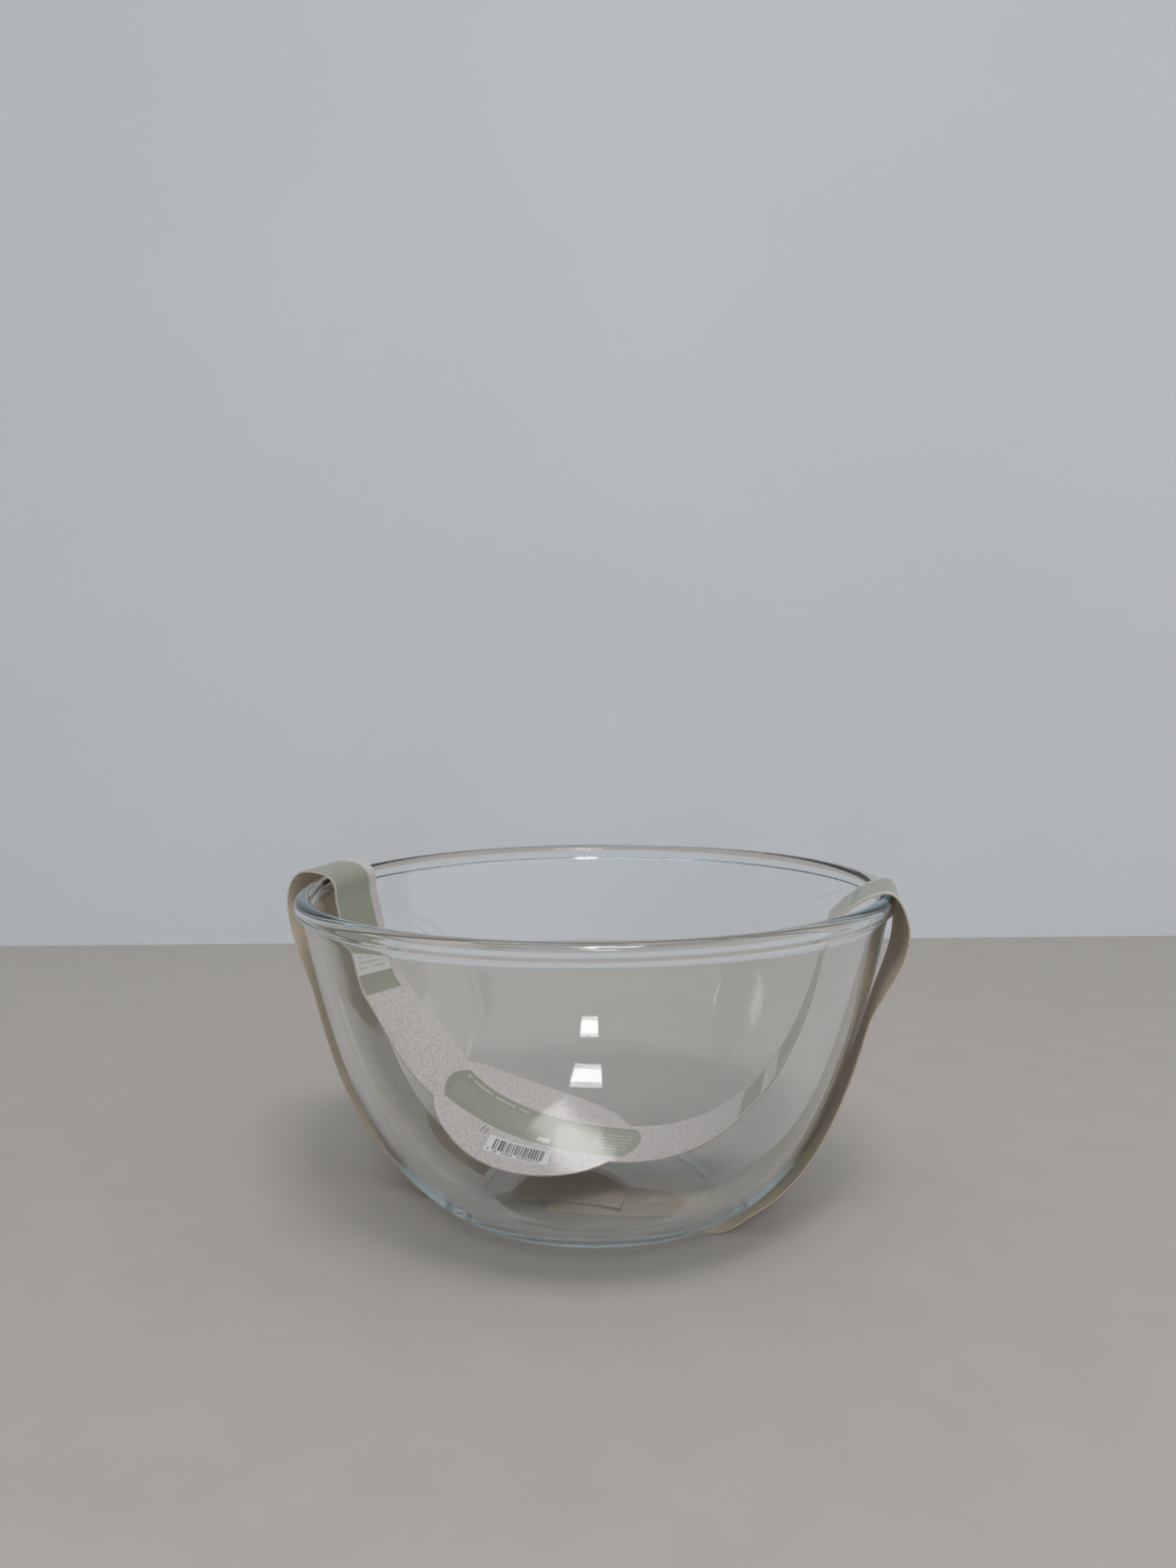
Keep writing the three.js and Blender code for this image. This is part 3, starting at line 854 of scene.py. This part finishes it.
def sticker_paper(label):
    """White sticker with plain bars and a dashed line, and no figures."""
    sheet = NodeSheet("white_label")
    along, across = sheet.card_place()
    pitch, in_pitch = sheet.split(sheet.math("DIVIDE", along, BAR_PITCH))
    bar_width = sheet.scaled(sheet.chance(pitch, 3.0), 0.52, 0.3)
    dark = sheet.math("LESS_THAN", in_pitch, bar_width)
    field = sheet.area(along, across, (-9.6, 9.7, -3.7, 5.2), 0.05)
    ends = sheet.either(sheet.between(along, -9.6, -9.0, 0.05), sheet.between(along, 9.2, 9.7, 0.05))
    bars = sheet.both(field, sheet.either(dark, ends))
    dashes = greeked(sheet, along, across, (-9.0, 9.0, -5.7, -4.1), 1.6, 0.9, 1.5, 0.9)
    mark = sheet.area(along, across, (-11.2, -10.5, -5.0, -3.8))
    ink = sheet.either(bars, dashes, mark)
    fibres = sheet.noise(sheet.vector(along, across), 1.2, 3.0)
    paper = sheet.lay(label.paper, label.fibre, fibres, 0.12)
    shade = sheet.lay(paper, label.bars, ink, 0.95)
    roughness = sheet.scaled(ink, -0.1, 0.5)
    return sheet.finish(Base_Color=shade, Roughness=roughness, Normal=sheet.bump(fibres, 0.06, 0.00004))


def dried_glue(glue):
    """Dried glue: a yellowish film with small bubbles."""
    sheet = NodeSheet("dried_glue")
    place = sheet.add("ShaderNodeTexCoord").outputs["Object"]
    clouds = sheet.noise(place, 240.0, 3.0)
    bubbles = sheet.add("ShaderNodeTexVoronoi", {"Vector": place, "Scale": 900.0}).outputs["Distance"]
    shade = sheet.mix(sheet.ramp(clouds, 0.3, 0.7), glue.film, glue.cloud)
    roughness = sheet.scaled(clouds, 0.3, 0.25)
    return sheet.finish(Base_Color=shade, Roughness=roughness, Normal=sheet.bump(bubbles, 0.3, 0.0001))


def plain_surface(name, tone, grain_scale):
    """A matt stage surface with a little tone in it."""
    sheet = NodeSheet(name)
    place = sheet.add("ShaderNodeTexCoord").outputs["Object"]
    grain = sheet.ramp(sheet.noise(place, grain_scale, 3.0), 0.3, 0.7)
    darker = [channel * 0.97 for channel in tone[:3]] + [1]
    return sheet.finish(Base_Color=sheet.mix(grain, tone, darker), Roughness=0.75)


def settings():
    return bpy.context.scene.mixing_bowl


def card_route():
    made = settings()
    return CardRoute(made.band, GlassProfile(made.glass))


class MIXINGBOWL_OT_glass(bpy.types.Operator):
    """Build the glass bowl"""

    bl_idname = "mixing_bowl.glass"
    bl_label = "Glass bowl"

    def execute(self, context):
        glass = settings().glass
        turns = 256
        vertices, faces = lathe(GlassProfile(glass).section(), turns)
        bowl = make_object("clear_bowl", vertices, faces, [clear_glass(glass)], sharp=math.pi)
        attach(bowl, "bowl")
        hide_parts("glass_bowl")
        return {"FINISHED"}


class MIXINGBOWL_OT_band(bpy.types.Operator):
    """Build the printed card band"""

    bl_idname = "mixing_bowl.band"
    bl_label = "Card band"

    def execute(self, context):
        band = settings().band
        route = card_route()
        columns = 13
        rows = [(place - route.panel_at, route.half_width_at(place)) for place in route.stations()]
        layers = (route.half_card, -route.half_card)
        vertices, numbers = lay_sheet(route, rows, columns, layers)
        faces, kinds = strip(len(rows), columns)
        crowns = [
            abs(route.knot_distances[name] - route.panel_at) / MM for name in ("left crown", "right crown")
        ]
        materials = [printed_face(band, crowns), kraft_face(band), cut_edge(band)]
        card = make_object("printed_band", vertices, faces, materials, kinds, numbers)
        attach(card, "band")
        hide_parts("paper_band")
        return {"FINISHED"}


class MIXINGBOWL_OT_label(bpy.types.Operator):
    """Build the sticker on the round panel"""

    bl_idname = "mixing_bowl.label"
    bl_label = "Sticker"

    def execute(self, context):
        label = settings().label
        route = card_route()
        columns = 9
        rows = self.rows(label)
        seat = route.half_card + 0.03 * MM
        layers = (seat + label.thickness, seat)
        vertices, numbers = lay_sheet(route, rows, columns, layers, label.along, label.across, label.tilt)
        faces = strip(len(rows), columns)[0]
        sticker = make_object("label_sticker", vertices, faces, [sticker_paper(label)], None, numbers)
        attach(sticker, "band")
        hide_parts("barcode_label")
        return {"FINISHED"}

    def rows(self, label):
        """Lengths from the sticker's middle, with half its width at each, less at the round corners."""
        corner_steps = 5
        straight_steps = 24
        half, wide, corner = label.length / 2, label.width / 2, label.corner
        turns = [way(math.pi / 2 * step / corner_steps) for step in range(corner_steps)]
        ends = [(half - corner * (1 - cos), wide - corner * (1 - sin)) for cos, sin in turns]
        shares = [2 * step / straight_steps - 1 for step in range(straight_steps + 1)]
        straight = [((half - corner) * part, wide) for part in shares]
        return [*[(-length, width) for length, width in ends], *straight, *reversed(ends)]


class MIXINGBOWL_OT_glue(bpy.types.Operator):
    """Build the dried glue in the lap"""

    bl_idname = "mixing_bowl.glue"
    bl_label = "Lap glue"

    def execute(self, context):
        glue = settings().glue
        band = settings().band
        middle = (band.left_end_offset + band.right_end_offset) / 2
        turned = Matrix.Rotation(band.turn, 3, "Z")
        count = 72
        vertices = []
        for level in (band.card, band.card + band.glue_thickness):
            for index in range(count):
                turn = 2 * math.pi * index / count
                cos, sin = way(turn)
                squared = (cos**6 + sin**6) ** (-1 / 6)
                wobble = 0.96 + 0.025 * math.sin(5 * turn) + 0.015 * math.sin(11 * turn + 1)
                x = glue.length / 2 * squared * wobble * cos
                y = middle + glue.width / 2 * squared * wobble * sin
                vertices.append(turned @ Vector((x, y, level)))
        faces = [tuple(reversed(range(count))), tuple(range(count, 2 * count))]
        for index in range(count):
            beside = (index + 1) % count
            faces.append((index, beside, count + beside, count + index))
        film = make_object("glue_film", vertices, faces, [dried_glue(glue)])
        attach(film, "band")
        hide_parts("lap_glue")
        return {"FINISHED"}


class MIXINGBOWL_OT_stage(bpy.types.Operator):
    """Set up the table, the wall, the lights and the camera"""

    bl_idname = "mixing_bowl.stage"
    bl_label = "Stage"

    def execute(self, context):
        scene = context.scene
        stage = settings().stage
        back = stage.wall_distance
        side = STAGE_REACH
        floor = make_object(
            "table_top", [(-side, -side, 0), (side, -side, 0), (side, back, 0), (-side, back, 0)],
            [(0, 1, 2, 3)], [plain_surface("table_tone", stage.floor, 40.0)],
        )
        wall = make_object(
            "back_wall", [(-side, back, 0), (side, back, 0), (side, back, side), (-side, back, side)],
            [(0, 1, 2, 3)], [plain_surface("wall_tone", stage.wall, 3.0)],
        )
        self.light_room(scene, stage)
        for name, (x, y) in CEILING_LAMPS.items():
            sides = (stage.lamp_width, stage.lamp_length)
            self.hang_lamp(name, stage.lamp_power, sides, (x, y, stage.lamp_height))
        self.set_back_strip(stage)
        self.place_camera(scene)
        self.let_light_turn(scene.cycles)
        scene.view_settings.view_transform = "Standard"
        return {"FINISHED"}

    def light_room(self, scene, stage):
        """Soft light from all round, stronger on the right, so that the bowl's shadow falls to the left."""
        sheet = NodeSheet("room", "worlds", "Background")
        direction = sheet.add("ShaderNodeTexCoord").outputs["Generated"]
        aside = sheet.add("ShaderNodeSeparateXYZ", {0: direction}).outputs["X"]
        strength = sheet.scaled(aside, stage.room_light * stage.right_light, stage.room_light)
        scene.world = sheet.finish(Color=ROOM_TINT, Strength=strength)

    def let_light_turn(self, cycles):
        """Light turns many times inside the thick glass before it leaves at the heel and the lip."""
        turns = 40
        cycles.max_bounces = turns
        cycles.transmission_bounces = turns
        cycles.glossy_bounces = turns

    def hang_lamp(self, name, power, sides, place):
        """A flat lamp, facing down."""
        lamp = bpy.data.lights.new(name, "AREA")
        lamp.shape = "RECTANGLE"
        lamp.size, lamp.size_y = sides
        lamp.energy = power
        hung = bpy.data.objects.new(name, lamp)
        hung.location = place
        bpy.context.scene.collection.objects.link(hung)
        return hung

    def set_back_strip(self, stage):
        """A small light behind the bowl, for the card's sheen. The glass neither shows nor blocks it."""
        place = (STRIP_ASIDE, stage.wall_distance - STRIP_FROM_WALL, STRIP_HEIGHT)
        hung = self.hang_lamp("back_strip", stage.strip_power, STRIP_SIDES, place)
        aim = Vector(STRIP_TARGET) - hung.location
        hung.rotation_euler = aim.to_track_quat("-Z", "Y").to_euler()
        hung.visible_camera = False
        left_out = bpy.data.collections.new("clear_of_back_strip")
        left_out.objects.link(bpy.data.objects["clear_bowl"])
        left_out.collection_objects[0].light_linking.link_state = "EXCLUDE"
        hung.light_linking.receiver_collection = left_out
        hung.light_linking.blocker_collection = left_out

    def place_camera(self, scene):
        camera = bpy.data.cameras.new("photo_camera")
        camera.lens = CAMERA_LENS
        camera.sensor_width = 36
        held = bpy.data.objects.new("photo_camera", camera)
        view = Matrix.Translation(CAMERA_PLACE)
        for degrees, axis in ((-CAMERA_YAW, "Z"), (90 - CAMERA_PITCH, "X"), (CAMERA_ROLL, "Z")):
            view @= Matrix.Rotation(math.radians(degrees), 4, axis)
        held.matrix_world = view
        scene.collection.objects.link(held)
        scene.camera = held


class MixingBowlSettings(bpy.types.PropertyGroup):
    """All the settings of the banded bowl."""

    glass: PointerProperty(type=GlassSettings)
    band: PointerProperty(type=BandSettings)
    label: PointerProperty(type=LabelSettings)
    glue: PointerProperty(type=GlueSettings)
    stage: PointerProperty(type=StageSettings)


class MIXINGBOWL_PT_sidebar(bpy.types.Panel):
    """Lists the steps and their settings"""

    bl_label = "Mixing bowl"
    bl_idname = "MIXINGBOWL_PT_sidebar"
    bl_space_type = "VIEW_3D"
    bl_region_type = "UI"
    bl_category = "Mixing bowl"

    def draw(self, context):
        made = settings()
        for part, operator in zip((made.glass, made.band, made.label, made.glue, made.stage), OPERATORS):
            box = self.layout.box()
            box.operator(operator.bl_idname)
            for name in type(part).__annotations__:
                box.prop(part, name)


OPERATORS = (
    MIXINGBOWL_OT_glass,
    MIXINGBOWL_OT_band,
    MIXINGBOWL_OT_label,
    MIXINGBOWL_OT_glue,
    MIXINGBOWL_OT_stage,
)
CLASSES = (
    GlassSettings,
    BandSettings,
    LabelSettings,
    GlueSettings,
    StageSettings,
    MixingBowlSettings,
    *OPERATORS,
    MIXINGBOWL_PT_sidebar,
)


def register():
    for made in CLASSES:
        bpy.utils.register_class(made)
    bpy.types.Scene.mixing_bowl = PointerProperty(type=MixingBowlSettings)


def unregister():
    del bpy.types.Scene.mixing_bowl
    for made in reversed(CLASSES):
        bpy.utils.unregister_class(made)


def main():
    register()
    bpy.ops.mixing_bowl.glass()
    bpy.ops.mixing_bowl.band()
    bpy.ops.mixing_bowl.label()
    bpy.ops.mixing_bowl.glue()
    bpy.ops.mixing_bowl.stage()


if __name__ == "__main__":
    main()
